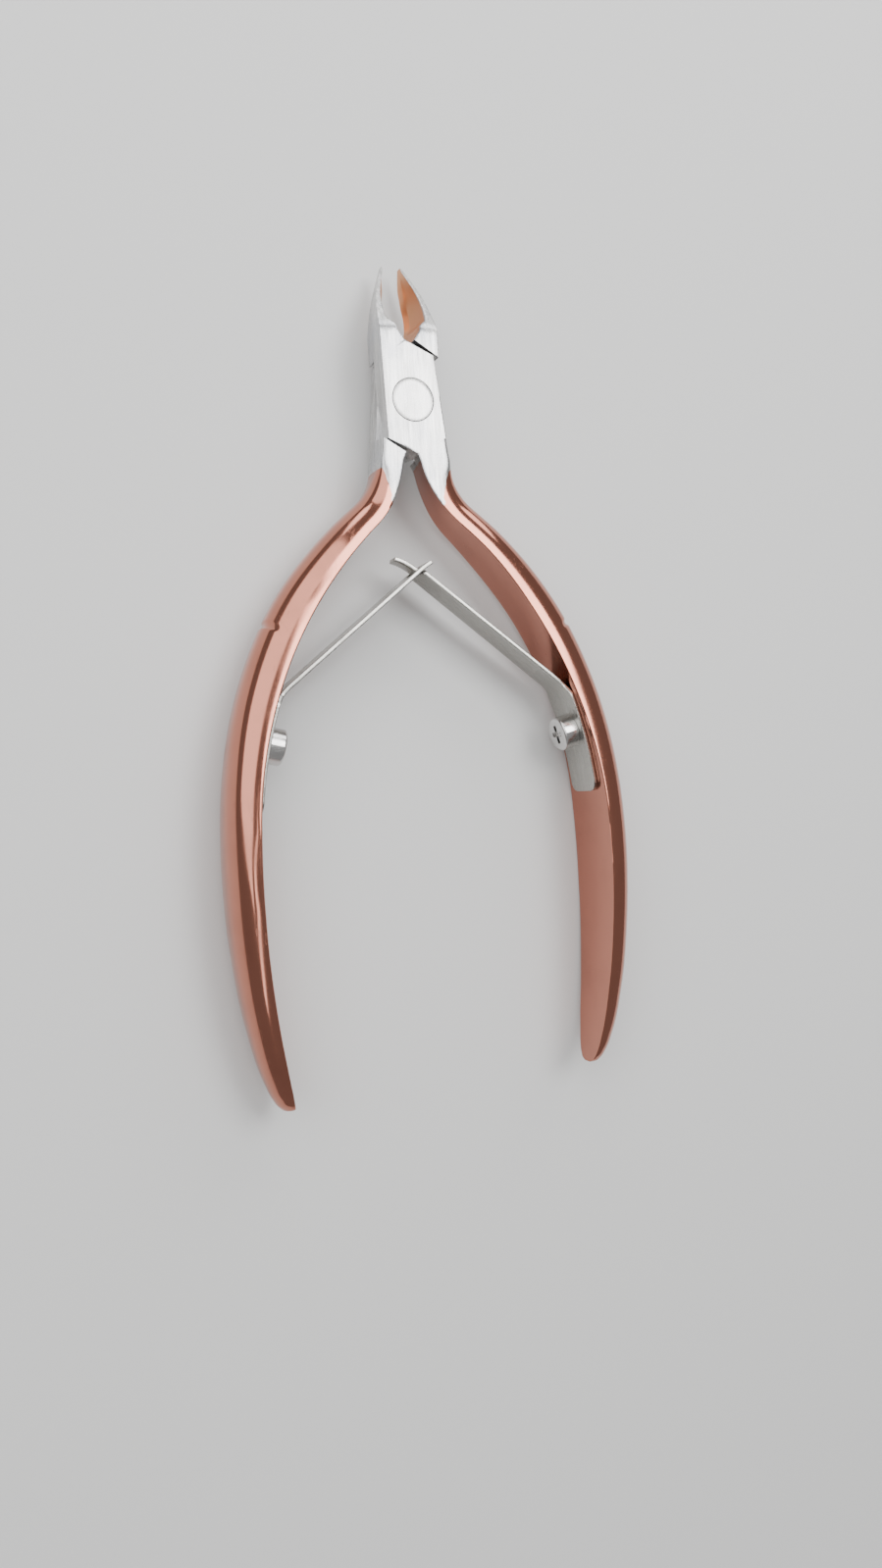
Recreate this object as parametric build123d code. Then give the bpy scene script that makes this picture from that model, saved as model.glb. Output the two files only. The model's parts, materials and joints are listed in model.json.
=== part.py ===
"""Cuticle nipper: two forged halves on a flush rivet, two crossing leaf springs, two screws.

Millimetres. Each half is drawn with the jaws shut, the pivot on the Z axis, the jaws towards
+Y and the mid-plane of the tool at Z = 0. The halves are then turned about the pivot by half
the rest opening, and at the end everything is moved so that the origin is the middle of the
underside of the whole tool, lying flat.
"""
from build123d import *
import os
from math import asin, atan2, cos, degrees, hypot, radians, sin, sqrt

# ---- driving dimensions -------------------------------------------------------------------
rest_opening = 7.2          # degrees between the halves when the springs are relaxed
close_gap = 0.03            # between the two cutting flats when shut

head_thick = 5.6            # both lap plates together
lap_gap = 0.04              # between the two lap plates
head_half_front = 3.15      # half width of the head where the jaws begin
head_half_rear = 3.85       # half width of the head where the handles begin
head_front_y = 8.8
head_rear_y = -8.0
tail_y = -12.5              # the head's square section fades into the handle here
tail_depth = 1.0

jaw_length = 17.7           # pivot to tip
jaw_side_x = 2.25           # a point on the curved outer side of a jaw
jaw_side_y = 13.2
tip_width = 0.12
ramp_start_y = 8.7          # the jaws thin down from here to the tip
tip_top_z = -1.85           # top of the tip, from the mid-plane
hollow_radius = 2.0         # ground hollow over the cutting edges
hollow_lift = 0.55          # its axis above the ramp
hollow_y = 11.5
hollow_length = 5.4
window_front_y = 12.6       # relief behind the cutting edges
window_side_x = 0.75
window_side_y = 9.3
window_rear_x = 0.3
window_rear_y = 7.3

front_wall_y = 7.165        # shoulder in front of the lap plate, on the centre line
front_wall_fall = 0.55      # its fall per millimetre of width
front_clear = 0.115
rear_wall_y = -6.42         # shoulder behind the lap plate, on the centre line
rear_wall_rise = 0.515
rear_clear = 0.34

rivet_head_d = 5.1
rivet_shank_d = 3.2
rivet_cone = 1.3            # depth of each flush head
rivet_clear = 0.04          # in the front half, which turns on the rivet

crotch_x = 0.5              # inner line of a handle, jaws shut
crotch_y = -7.4
neck_x = 4.6
neck_y = -15.2
wide_x = 18.5
wide_y = -50.5
end_x = 13.9
end_y = -82.7
handle_max = 9.5            # trimmed flats, top and bottom, at the widest place

spring_thick = 0.5
foot_width = 6.0
foot_top_y = -35.6
foot_end_y = -48.9
foot_corner = 1.3           # rounded corners of its free end
screw_y = -40.9
arm_width = 4.8
tip_arm_width = 4.2
cross_y = -20.0             # where the arms cross, at rest
left_overrun = 1.9          # arm ends beyond the crossing
right_overrun = 3.7
tongue_width = 2.0
slot_side_clear = 0.2
slot_length = 2.6
slot_shift = 0.1            # of the slot's middle, from the crossing towards the bend
shoulder_clear = 0.45       # from the crossing back to the wide part of the right arm
knuckle_clear = 0.05        # around the bend, to the foot and to the handle
knuckle_reach = 0.2         # from the bend's axis to the flat of the arm

screw_head_d = 4.3
screw_head_h = 2.0
screw_rounding = 0.35
screw_shank_d = 2.0
screw_depth = 2.4           # into the handle
screw_clear = 0.03
recess_width = 0.62
recess_length = 2.3
recess_depth = 1.0

# Along each handle, measured down from the pivot with the jaws shut:
# place, height, greatest thickness, width of the flat land at each edge.
handle_sections = [
    (-9.4, 5.4, 2.5, 1.9),
    (-13.5, 5.8, 3.25, 1.1),
    (-18.5, 7.1, 3.7, 1.05),
    (-26.0, 7.2, 4.2, 1.1),
    (-36.0, 7.9, 4.1, 1.15),
    (-46.0, 9.0, 3.75, 1.1),
    (-56.0, 9.75, 3.6, 1.05),
    (-65.0, 8.95, 3.4, 0.95),
    (-73.0, 7.8, 3.05, 0.85),
    (-79.0, 6.0, 2.45, 0.7),
    (-81.5, 4.4, 1.8, 0.55),
    (-82.7, 2.4, 1.0, 0.4),
]

half_open = rest_opening / 2
head_half = head_thick / 2
overcut = 0.4               # extra stock on a handle's inner side, cut back to the inner line
past = 5.0                  # how far a cutting body runs past what it cuts


# ---- the inner line of a handle, jaws shut ------------------------------------------------
def arc_radius(x, y):
    """Radius of the arc that is upright at the widest point and passes through (x, y)."""
    return (hypot(wide_x - x, wide_y - y) ** 2) / (2 * (wide_x - x))


upper_radius = arc_radius(neck_x, neck_y)
lower_radius = arc_radius(end_x, end_y)
neck_lean = asin((neck_y - wide_y) / upper_radius)
neck_in_x = crotch_x - neck_x
neck_in_y = crotch_y - neck_y
neck_radius = hypot(neck_in_x, neck_in_y) ** 2 / (
    2 * (neck_in_x * cos(neck_lean) + neck_in_y * sin(neck_lean)))
neck_centre_x = neck_x + neck_radius * cos(neck_lean)
neck_centre_y = neck_y + neck_radius * sin(neck_lean)


def on_upper(y, inset=0.0):
    """Point on the upper arc, or on one inside it, and the arc's outward direction there."""
    angle = asin((y - wide_y) / upper_radius)
    reach = upper_radius - inset
    x = wide_x - upper_radius + reach * cos(angle)
    return x, wide_y + reach * sin(angle), cos(angle), sin(angle)


def inner_point(y):
    """Point on the inner line at a height y, and the direction out through the handle."""
    if y > neck_y:
        rise = (neck_centre_y - y) / neck_radius
        level = sqrt(1 - rise ** 2)
        return neck_centre_x - neck_radius * level, y, level, rise
    if y > wide_y:
        return on_upper(y)
    angle = asin((y - wide_y) / lower_radius)
    return wide_x - lower_radius * (1 - cos(angle)), y, cos(angle), sin(angle)


def stretch(y_from, y_to):
    """One arc of the inner line between two heights."""
    middle = (y_from + y_to) / 2
    return ThreePointArc(*[inner_point(y)[:2] for y in (y_from, middle, y_to)])


# ---- handle -------------------------------------------------------------------------------
def along_handle(place):
    """Place of a section: those below the widest place keep their share of the way to the end."""
    if place > wide_y:
        return place
    return wide_y + (place - wide_y) * (end_y - wide_y) / (handle_sections[-1][0] - wide_y)


def handle_section(y, height, thick, land):
    """D-shaped section across a handle: flat inside, crowned outside, a land at each edge."""
    x, y, out_x, out_y = inner_point(along_handle(y))
    plane = Plane(origin=(x, y, 0), x_dir=(out_x, out_y, 0), z_dir=(out_y, -out_x, 0))
    top = height / 2
    outline = Polyline((land, -top), (-overcut, -top), (-overcut, top), (land, top))
    crown = ThreePointArc((land, top), (thick, 0), (land, -top))
    return plane * make_face([outline, crown])


def handle_blank():
    """Lofted handle with extra stock inside, trimmed flat at its widest place."""
    blank = loft([handle_section(*row) for row in handle_sections])
    return blank & Box(4 * (wide_x + past), 2 * (past - end_y), handle_max)


def grip_space():
    """Everything on the inner side of a handle's inner line."""
    past_end = end_y - past
    around = Polyline((end_x, end_y), (end_x, past_end), (-wide_x, past_end),
                      (-wide_x, crotch_y), (crotch_x, crotch_y))
    plan = make_face([stretch(crotch_y, neck_y), stretch(neck_y, wide_y),
                      stretch(wide_y, end_y), around])
    return extrude(plan, handle_max, both=True)


# ---- head and jaw -------------------------------------------------------------------------
def side_x(y):
    """Half width of the head at a height y."""
    share = (head_front_y - y) / (head_front_y - head_rear_y)
    return head_half_front + (head_half_rear - head_half_front) * share


def wall_y(x, clear):
    """Height of the front shoulder at a place across the head, moved by a clearance."""
    return front_wall_y + clear - front_wall_fall * x


def meet_side(level, slope):
    """Where the line y = level + slope * x meets the right side of the head."""
    rate = (head_half_rear - head_half_front) / (head_front_y - head_rear_y)
    x = (head_half_front + (head_front_y - level) * rate) / (1 + slope * rate)
    return x, level + slope * x


def jaw_inner():
    """Inner edge of the left jaw, from its tip to the back of the relief window."""
    flat = Line((-close_gap / 2, jaw_length), (-close_gap / 2, window_front_y))
    relief = Spline((-close_gap / 2, window_front_y), (-window_side_x, window_side_y),
                    (-window_rear_x, window_rear_y), tangents=[(0, -1), (0.5, -0.85)])
    return flat, relief


def jaw_outer():
    """Outer side of the left jaw, from the head to the tip, then across the tip."""
    tip_x = -close_gap / 2 - tip_width
    side = ThreePointArc((-head_half_front, head_front_y), (-jaw_side_x, jaw_side_y),
                         (tip_x, jaw_length))
    return side, Line((tip_x, jaw_length), (-close_gap / 2, jaw_length))


def root_tail():
    """Plan of the head's tail, which runs down inside the handle and stops there."""
    x, y, out_x, out_y = inner_point(tail_y)
    deep = tail_depth
    return ((side_x(head_rear_y), head_rear_y), (x + deep * out_x, y + deep * out_y),
            (x, y), (crotch_x - overcut, crotch_y))


def plate_layer():
    """Plan of the half of the thickness that holds the lap plate, jaw and handle root."""
    flat, relief = jaw_inner()
    side, tip = jaw_outer()
    front = meet_side(front_wall_y - front_clear, -front_wall_fall)
    back = meet_side(rear_wall_y, rear_wall_rise)
    nose_x = window_rear_x / 2
    heel_x = window_rear_x
    rest = Polyline((-window_rear_x, window_rear_y), (nose_x, wall_y(nose_x, -front_clear)),
                    front, *root_tail(), (-heel_x, rear_wall_y + rear_wall_rise * heel_x),
                    (-back[0], back[1]), (-head_half_front, head_front_y))
    return make_face([flat, relief, rest, side, tip])


def jaw_layer():
    """Plan of the other half of the thickness at the jaw, in front of its shoulder."""
    flat, relief = jaw_inner()
    side, tip = jaw_outer()
    wall = meet_side(front_wall_y + front_clear, -front_wall_fall)
    rest = Polyline((-window_rear_x, window_rear_y),
                    (-window_rear_x, wall_y(window_rear_x, front_clear)),
                    (-wall[0], wall[1]), (-head_half_front, head_front_y))
    return make_face([flat, relief, rest, side, tip])


def root_layer():
    """Plan of the other half of the thickness at the handle's root, behind its shoulder."""
    wall = meet_side(rear_wall_y - rear_clear, rear_wall_rise)
    heel_x = window_rear_x
    inner = (heel_x, rear_wall_y - rear_clear + rear_wall_rise * heel_x)
    return make_face(Polyline(wall, *root_tail(), inner, close=True))


def jaw_cutters():
    """The ramp over both jaws and the hollow ground along their cutting edges."""
    fall = degrees(atan2(head_half - tip_top_z, jaw_length - ramp_start_y))
    ramp = Pos(0, ramp_start_y, head_half) * Rot(-fall, 0, 0)
    run_out = jaw_length + past
    over = ramp * Pos(0, run_out / 2, head_thick / 2) * Box(4 * head_half_front, run_out,
                                                            head_thick)
    along = (hollow_y - ramp_start_y) / cos(radians(fall))
    run = hollow_length / 2
    axis = ramp * Pos(0, along, hollow_lift)
    hollow = axis * Rot(90, 0, 0) * Cylinder(hollow_radius, hollow_length)
    hollow += axis * Pos(0, run, 0) * Sphere(hollow_radius)
    hollow += axis * Pos(0, -run, 0) * Sphere(hollow_radius)
    return over, hollow


def rivet_shape(clear=0.0):
    """Flush rivet: a coned head at each end of a plain shank."""
    head_r = rivet_head_d / 2 + clear
    shank_r = rivet_shank_d / 2 + clear
    waist = head_half - rivet_cone
    profile = Polyline((0, -head_half), (head_r, -head_half), (shank_r, -waist),
                       (shank_r, waist), (head_r, head_half), (0, head_half), close=True)
    return revolve(Plane.XZ * make_face(profile), Axis.Z)


def screw_place():
    """Frame of a spring screw, jaws shut: Z points out of the handle's inner face."""
    x, y, out_x, out_y = on_upper(screw_y)
    return Plane(origin=(x, y, 0), x_dir=(0, 0, 1), z_dir=(-out_x, -out_y, 0))


def forged_half(plate_side):
    """Left jaw, lap plate on one side of the mid-plane, right handle."""
    lap = plate_side * lap_gap / 2
    plate = Pos(0, 0, lap) * extrude(plate_layer(), plate_side * head_half - lap)
    far = Pos(0, 0, -plate_side * head_half)
    jaw = far * extrude(jaw_layer(), plate_side * head_half + lap)
    root = far * extrude(root_layer(), plate_side * head_half + lap)
    over, hollow = jaw_cutters()
    head = plate + jaw + root - over - hollow
    half = head + handle_blank() - grip_space()
    shaft = Cylinder(screw_shank_d / 2, 2 * screw_depth)
    half -= screw_place().location * shaft
    return half


# ---- springs and screws -------------------------------------------------------------------
def bend_point():
    """Axis of the spring's bend, jaws shut: the middle of its thickness."""
    x, y, _, _ = on_upper(foot_top_y, spring_thick / 2)
    return x, y


def turned(point, angle):
    """A plan point turned about the pivot."""
    c, s = cos(radians(angle)), sin(radians(angle))
    return point[0] * c - point[1] * s, point[0] * s + point[1] * c


def foot_corners():
    """Waste outside the two rounded corners of a foot's free end."""
    x, y, out_x, out_y = on_upper(foot_end_y)
    level = foot_width / 2 - foot_corner
    face = Plane(origin=(x, y, 0), x_dir=(-out_y, out_x, 0), z_dir=(out_x, out_y, 0))
    waste = []
    for sign in (-1, 1):
        block = Pos(0, sign * foot_width / 2, 0) * Box(2 * foot_corner, 2 * foot_corner, past)
        block -= Pos(foot_corner, sign * level, 0) * Cylinder(foot_corner, past)
        waste.append(face.location * block)
    return waste


def spring_foot():
    """Curved foot on the inner face of the right handle, jaws shut."""
    rows = (foot_top_y, (foot_top_y + foot_end_y) / 2, foot_end_y)
    outer = ThreePointArc(*[on_upper(y)[:2] for y in rows])
    inner = ThreePointArc(*[on_upper(y, spring_thick)[:2] for y in rows])
    ends = [Line(outer @ 0, inner @ 0), Line(outer @ 1, inner @ 1)]
    foot = extrude(make_face([outer, inner, *ends]), foot_width / 2, both=True)
    foot -= foot_corners()
    foot -= screw_place().location * Cylinder(screw_shank_d / 2 + screw_clear, past)
    bend_x, bend_y = bend_point()
    knuckle = Cylinder(spring_thick / 2 + knuckle_clear, foot_width)
    return foot - Pos(bend_x, bend_y, 0) * knuckle


def spring_arm(overrun):
    """Right arm at rest, from the bend to past the crossing, with its round knuckle."""
    start = turned(bend_point(), half_open)
    run = hypot(start[0], start[1] - cross_y)
    angle = degrees(atan2(cross_y - start[1], -start[0]))
    place = Pos(start[0], start[1], 0) * Rot(0, 0, angle)
    length = run + overrun
    plan = Plane.XZ * make_face(Polyline(
        (knuckle_reach, -arm_width / 2), (run, -tip_arm_width / 2),
        (length, -tip_arm_width / 2), (length, tip_arm_width / 2),
        (run, tip_arm_width / 2), (knuckle_reach, arm_width / 2), close=True))
    arm = extrude(plan, spring_thick / 2, both=True)
    knuckle_d = spring_thick - 2 * knuckle_clear
    arm += Cylinder(knuckle_d / 2, arm_width)
    arm += Pos(knuckle_reach / 2, 0, 0) * Box(knuckle_reach, knuckle_d, arm_width)
    return arm, place, run, length


def tongue_arm():
    """Right arm: its end is a narrow tongue."""
    arm, place, run, length = spring_arm(right_overrun)
    start = run - shoulder_clear
    side = (tip_arm_width - tongue_width) / 2
    for sign in (-1, 1):
        waste = Box(length - start + past, past, side + past)
        level = sign * (tongue_width + side + past) / 2
        arm -= Pos((start + length + past) / 2, 0, level) * waste
    return place * arm


def slotted_arm():
    """Left arm, drawn on the right: a slot at the crossing lets the tongue through."""
    arm, place, run, _ = spring_arm(left_overrun)
    slot = Box(slot_length, past, tongue_width + 2 * slot_side_clear)
    return place * (arm - Pos(run - slot_shift, 0, 0) * slot)


def spring_screw():
    """Cheese-head screw with a cross recess, jaws shut; its shank is in the handle."""
    hollow_of_foot = (screw_head_d / 2) ** 2 / (2 * (upper_radius - spring_thick))
    seat = spring_thick + hollow_of_foot
    head = Pos(0, 0, seat + screw_head_h / 2) * Cylinder(screw_head_d / 2, screw_head_h)
    head = fillet(head.edges().group_by(Axis.Z)[-1], screw_rounding)
    depth = screw_depth - screw_clear
    shank = Cylinder(screw_shank_d / 2 - screw_clear, seat + depth)
    screw = head + Pos(0, 0, (seat - depth) / 2) * shank
    top = seat + screw_head_h
    for turn in (0, 90):
        cut = Box(recess_length, recess_width, 2 * recess_depth)
        screw -= Pos(0, 0, top) * Rot(0, 0, turn) * cut
    return screw_place().location * screw


# ---- assembly -----------------------------------------------------------------------------
def front(shape):
    """Turn a piece of the front half, drawn jaws shut, to the rest opening."""
    return Rot(0, 0, half_open) * shape


def back(shape):
    """Mirror a piece to the back half and turn it to the rest opening."""
    return Rot(0, 0, -half_open) * mirror(shape, Plane.YZ)


parts = {
    "front_half": front(forged_half(1) - rivet_shape(rivet_clear)),
    "back_half": back(forged_half(-1) - rivet_shape()),
    "pivot_rivet": rivet_shape(),
    "right_spring_foot": front(spring_foot()),
    "left_spring_foot": back(spring_foot()),
    "right_spring_arm": tongue_arm(),
    "left_spring_arm": mirror(slotted_arm(), Plane.YZ),
    "right_spring_screw": front(spring_screw()),
    "left_spring_screw": back(spring_screw()),
}

boxes = [shape.bounding_box() for shape in parts.values()]
low = [min(getattr(b.min, axis) for b in boxes) for axis in "XYZ"]
high = [max(getattr(b.max, axis) for b in boxes) for axis in "XYZ"]
origin = Pos(-(low[0] + high[0]) / 2, -(low[1] + high[1]) / 2, -low[2])
os.makedirs("parts", exist_ok=True)
for name, shape in parts.items():
    export_step(origin * shape, f"parts/{name}.step")
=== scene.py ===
"""Cuticle nipper: two plated, forged halves on a flush rivet, crossing leaf springs and screws.

Run as a script. Every shape is worked out in millimetres about the pivot, +Y towards the tips
and Z = 0 on the mid-plane. The halves and the springs' feet are drawn with the jaws shut and
turned to the rest opening; the springs' arms are drawn at rest.
"""

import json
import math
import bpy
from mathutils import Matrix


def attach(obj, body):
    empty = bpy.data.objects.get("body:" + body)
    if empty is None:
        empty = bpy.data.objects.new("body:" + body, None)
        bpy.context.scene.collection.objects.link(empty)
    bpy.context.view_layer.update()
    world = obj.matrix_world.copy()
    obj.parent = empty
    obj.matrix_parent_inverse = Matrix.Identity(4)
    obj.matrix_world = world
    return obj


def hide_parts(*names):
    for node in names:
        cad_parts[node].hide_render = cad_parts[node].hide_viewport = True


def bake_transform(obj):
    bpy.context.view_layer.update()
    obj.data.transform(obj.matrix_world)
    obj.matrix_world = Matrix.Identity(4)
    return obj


bl_info = {
    "name": "Cuticle nipper",
    "version": (1, 0, 0),
    "blender": (4, 5, 0),
    "location": "View3D > Sidebar > Nipper",
    "description": "Builds a lap-jointed cuticle nipper with crossing leaf springs",
    "category": "Add Mesh",
}

import bmesh
import bpy
import numpy as np

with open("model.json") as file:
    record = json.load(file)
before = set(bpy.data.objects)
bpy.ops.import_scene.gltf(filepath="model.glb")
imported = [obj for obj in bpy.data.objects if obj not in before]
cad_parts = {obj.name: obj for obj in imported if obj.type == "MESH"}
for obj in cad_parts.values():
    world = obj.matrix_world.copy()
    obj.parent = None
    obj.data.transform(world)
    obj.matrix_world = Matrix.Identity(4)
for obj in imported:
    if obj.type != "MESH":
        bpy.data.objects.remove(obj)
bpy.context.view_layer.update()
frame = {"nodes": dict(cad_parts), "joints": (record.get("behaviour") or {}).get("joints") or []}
PIVOT = next(j for j in frame["joints"] if j["name"] == "pivot")["pos_m"]
MM = 0.001


# ---- settings ----
def number(name, description, default, **more):
    """A number setting with its label and tooltip."""
    return bpy.props.FloatProperty(name=name, description=description, default=default, **more)


def length(name, description, millimetres):
    """A length setting, given in millimetres and kept in metres."""
    return number(name, description, millimetres * MM, unit="LENGTH", precision=5)


def turn(name, description, degrees):
    """An angle setting, given in degrees and kept in radians."""
    return number(name, description, math.radians(degrees), unit="ROTATION")


def share(name, description, default):
    """A plain factor from 0 to 1."""
    return number(name, description, default, min=0.0, max=1.0, subtype="FACTOR")


def tint(name, description, colour):
    """A colour setting."""
    return bpy.props.FloatVectorProperty(
        name=name, description=description, default=colour, size=3, min=0.0, max=1.0,
        subtype="COLOR",
    )


class NipperSizes(bpy.types.PropertyGroup):
    """Sizes of the two halves, the rivet and the springs."""

    opening: turn("Rest opening", "Angle between the halves with the springs relaxed", 7.2)
    head_thick: length("Head thickness", "Both lap plates together", 5.6)
    lap_gap: length("Lap gap", "Space between the two lap plates", 0.04)
    head_front: length("Head half width, front", "Half width of the head at the jaws", 3.15)
    head_rear: length("Head half width, rear", "Half width of the head at the handles", 3.85)
    shoulder_front: length("Front shoulder", "Pivot to the front shoulder on the middle", 7.165)
    shoulder_rear: length("Rear shoulder", "Pivot to the rear shoulder on the middle", 6.42)
    jaw_length: length("Jaw length", "Pivot to the tips", 17.7)
    handle_end: length("Handle end", "Pivot to the handle ends, jaws shut", 82.8)
    edge_round: length("Edge rounding", "Rounding of the forged edges", 0.17)
    notch_depth: length("Notch depth", "Nick across the crown of each handle", 0.24)
    rivet_width: length("Rivet width", "Diameter of the flush rivet head", 5.1)
    spring_thick: length("Spring thickness", "Thickness of the spring strip", 0.5)
    foot_width: length("Foot width", "Width of the spring where it is screwed down", 6.0)
    arm_width: length("Arm width", "Width of a spring arm at its bend", 4.8)
    tip_width: length("Arm end width", "Width of a spring arm where the two cross", 4.2)
    tongue_width: length("Tongue width", "Width of the right arm's tongue", 2.0)


class NipperFinishes(bpy.types.PropertyGroup):
    """Colours and polish of the metals."""

    plating: tint("Plating", "Rose plating on the handles", (0.51, 0.205, 0.145))
    hollow: tint("Jaw plating", "Plating in the hollows of the jaws", (0.66, 0.34, 0.19))
    steel: tint("Head steel", "Satin stainless steel of the head", (0.70, 0.69, 0.68))
    spring: tint("Spring steel", "Rolled strip of the springs", (0.46, 0.45, 0.42))
    screw: tint("Screw steel", "Turned steel of the screws", (0.72, 0.71, 0.70))
    floor: tint("Table", "Pale table top", (0.74, 0.74, 0.735))
    gloss: share("Plating roughness", "Lowest roughness of the polished plating", 0.12)
    satin: share("Steel roughness", "Roughness of the brushed head", 0.27)


class NipperStage(bpy.types.PropertyGroup):
    """Camera and lights."""

    lens: number("Lens", "Focal length on a 36 mm long side", 27.02, unit="CAMERA")
    key: number("Key light", "Power of the large overhead panel in watts", 1.5)
    fill: number("Fill light", "Power of the side panel in watts", 1.6)
    rim: number("Rim light", "Power of the low panel behind the jaws in watts", 1.2)
    strip: number("Strip light", "Power of the narrow overhead panel in watts", 0.15)
    sky: share("Room light", "Brightness of the room around the table", 0.3)


# ---- curves and rings ----
def smooth_through(at, table):
    """Cubic through a table of (place, value): each piece is a Hermite cubic whose slope at a
    place is the weighted mean of the chords on its two sides."""
    places, values = np.array(sorted(table), float).T
    slope = np.gradient(values, places)
    at = np.clip(at, places[0], places[-1])
    k = np.clip(np.searchsorted(places, at, side="right") - 1, 0, len(places) - 2)
    span = places[k + 1] - places[k]
    t = (at - places[k]) / span
    start = (1 + 2 * t) * (1 - t) ** 2 * values[k] + t * (1 - t) ** 2 * span * slope[k]
    end = t * t * (3 - 2 * t) * values[k + 1] + t * t * (t - 1) * span * slope[k + 1]
    return start + end


def ease(t):
    """Smooth step: 3t^2 - 2t^3 with t held between 0 and 1."""
    t = np.clip(t, 0, 1)
    return t * t * (3 - 2 * t)


def spread(start, end, count):
    """Points evenly along the straight line from start to end, without the end.
    start and end are (stations, 2); the result is (stations, count, 2)."""
    t = (np.arange(count) / count)[None, :, None]
    return start[:, None, :] * (1 - t) + end[:, None, :] * t


def pair(across, height):
    """Stations of (across, height), either of which may be one number."""
    across, height = np.broadcast_arrays(np.asarray(across, float), np.asarray(height, float))
    return np.stack([across, height], axis=-1)


def round_corners(ring, rounded, corners, radius):
    """Makes every corner of the rings four points. A rounded one is the quadratic Bezier
    (1-t)^2 A + 2t(1-t) C + t^2 B, from the point a radius before the corner C to the point a
    radius after it; at a square one all four points stand on the corner."""
    count = ring.shape[1]
    columns = []
    t = np.linspace(0, 1, 4)[None, :, None]
    for j in range(count):
        here = ring[:, j]
        if j not in corners:
            columns.append(here[:, None])
            continue
        most = radius if j in rounded else 0.0
        sides = []
        for other in (ring[:, j - 1], ring[:, (j + 1) % count]):
            way = other - here
            reach = np.linalg.norm(way, axis=1, keepdims=True)
            step = np.minimum(most, 0.45 * reach)
            sides.append(here + way * step / np.maximum(reach, 1e-9))
        a, b = sides[0][:, None], sides[1][:, None]
        columns.append((1 - t) ** 2 * a + 2 * t * (1 - t) * here[:, None] + t * t * b)
    return np.concatenate(columns, axis=1)


def tube(points):
    """Closed surface over rings: points is (stations, ring, 3), each cell a quad, and each end is
    a fan to the middle of its last ring."""
    stations, ring, _ = points.shape
    i, j = np.meshgrid(np.arange(stations - 1), np.arange(ring), indexing="ij")
    nxt = (j + 1) % ring
    quads = np.stack([i * ring + j, (i + 1) * ring + j, (i + 1) * ring + nxt, i * ring + nxt], -1)
    vertices = points.reshape(-1, 3)
    middles = np.stack([points[0].mean(0), points[-1].mean(0)])
    near, far = len(vertices), len(vertices) + 1
    last = (stations - 1) * ring
    k = np.arange(ring)
    n = (k + 1) % ring
    faces = quads.reshape(-1, 4).tolist()
    faces += np.stack([np.full(ring, near), k, n], -1).tolist()
    faces += np.stack([np.full(ring, far), last + n, last + k], -1).tolist()
    return np.concatenate([vertices, middles]), faces


def place(points, opening, side=1):
    """Points in millimetres about the pivot, turned by half the opening (side 1 the front half,
    -1 the back half) and set where the pivot is, in metres."""
    angle = side * opening / 2
    c, s = math.cos(angle), math.sin(angle)
    x, y, z = np.moveaxis(points, -1, 0)
    moved = np.stack([c * x - s * y, s * x + c * y, z], axis=-1)
    return moved * MM + np.array(PIVOT)


def put(name, data):
    """New object in the scene."""
    piece = bpy.data.objects.new(name, data)
    bpy.context.scene.collection.objects.link(piece)
    return piece


def make_mesh(name, vertices, faces, material, sharp=28, merge=0.0012, plated=None):
    """Mesh object from arrays: doubles nearer than merge (mm) joined, slivers and loose points
    removed, faces turned outwards, and edges sharper than an angle kept crisp. plated is a value
    from 0 to 1 for each point."""
    mesh = bpy.data.meshes.new(name)
    mesh.from_pydata(np.asarray(vertices).tolist(), [], faces)
    if plated is not None:
        cover = mesh.attributes.new("plated", "FLOAT", "POINT")
        cover.data.foreach_set("value", plated.astype(np.float32))
    work = bmesh.new()
    work.from_mesh(mesh)
    bmesh.ops.remove_doubles(work, verts=work.verts, dist=merge * MM)
    bmesh.ops.dissolve_degenerate(work, edges=work.edges, dist=merge * MM)
    loose = [v for v in work.verts if not v.link_faces]
    bmesh.ops.delete(work, geom=loose, context="VERTS")
    bmesh.ops.recalc_face_normals(work, faces=work.faces)
    work.to_mesh(mesh)
    work.free()
    mesh.shade_smooth()
    mesh.set_sharp_from_angle(angle=math.radians(sharp))
    mesh.materials.append(material)
    return put(name, mesh)


# ---- forged half ----
# along a jaw, from the pivot: the half width; across from the middle line to the inner side of
# the land and to the cutting edge; the ridge's height, and its share of the way from the cutting
# edge to the land
JAW_SIDE = [(5, 3.30), (7, 3.23), (8.8, 3.15), (10, 2.95), (11.1, 2.73), (13.2, 2.2), (15, 1.5),
            (16.1, 0.97), (17.2, 0.41), (17.7, 0.14)]
RIM_INSIDE = [(6, 0.1), (7.2, 0.2), (7.9, 0.62), (8.5, 0.92), (9.1, 1.02), (9.5, 1.36),
              (9.9, 1.76), (10.3, 1.88), (10.9, 1.88), (12.1, 1.78), (14.1, 1.36), (15.2, 0.96),
              (16.2, 0.52), (17.2, 0.14), (17.7, 0.05)]
INNER_EDGE = [(6, 0.08), (7.2, 0.12), (7.9, 0.24), (8.8, 0.62), (9.6, 0.80), (11, 0.84),
              (12, 0.68), (13, 0.42), (14.1, 0.22), (15, 0.05), (15.6, 0.015), (17.7, 0.015)]
RIDGE_LEVEL = [(7.28, 0.02), (8.2, -0.9), (9.2, -1.7), (10, -2.0), (15, -2.05), (16.5, -2.2),
               (17.7, -2.55)]
RIDGE_SHARE = [(7.28, 0.0), (9.5, 0.3), (11, 0.5), (12, 0.5), (13, 0.38), (14.1, 0.3),
               (15, 0.36), (17.7, 0.4)]
RAMP = (8.8, 8.9, 4.72)     # starts here, this long, this much fall
HEAD_SPAN = (8.8, -8.0)     # the head's sides are straight between these
SIDE_TABLE_FROM = 8.0       # ahead of this the jaw's side table is used
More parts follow.
